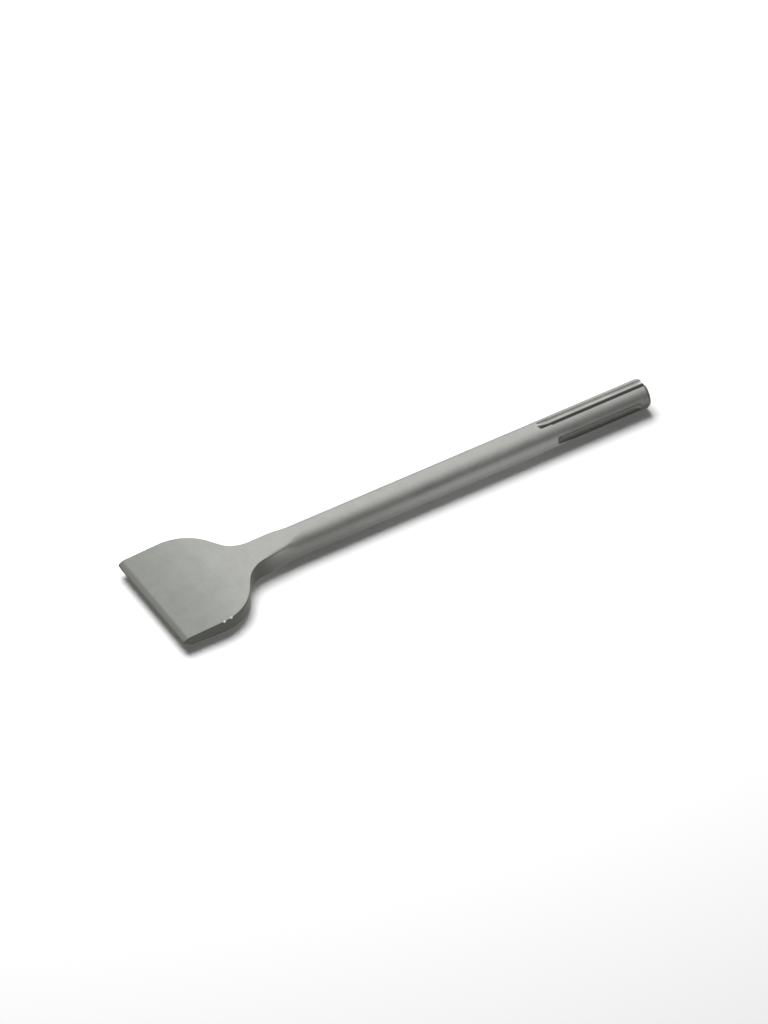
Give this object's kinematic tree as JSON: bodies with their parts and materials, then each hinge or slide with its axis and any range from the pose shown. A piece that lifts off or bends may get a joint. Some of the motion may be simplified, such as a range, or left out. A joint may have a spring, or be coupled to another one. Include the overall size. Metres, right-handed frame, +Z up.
{
  "type": "wide chisel",
  "caption": "Wide flat chisel forged in one piece: a broad bevelled blade, a round shaft and a grooved shank for a hammer.",
  "frame": {"origin": "centre of the flat striking face at the end of the shank", "axes": "+X along the bar from the cutting edge to the striking face, +Z up and square to the blade, +Y across the blade"},
  "size_m": [0.32, 0.075, 0.018],
  "materials": {
    "steel": "blasted matt grey"
  },
  "bodies": {
    "root": {"wide_chisel": "steel"}
  },
  "joints": []
}
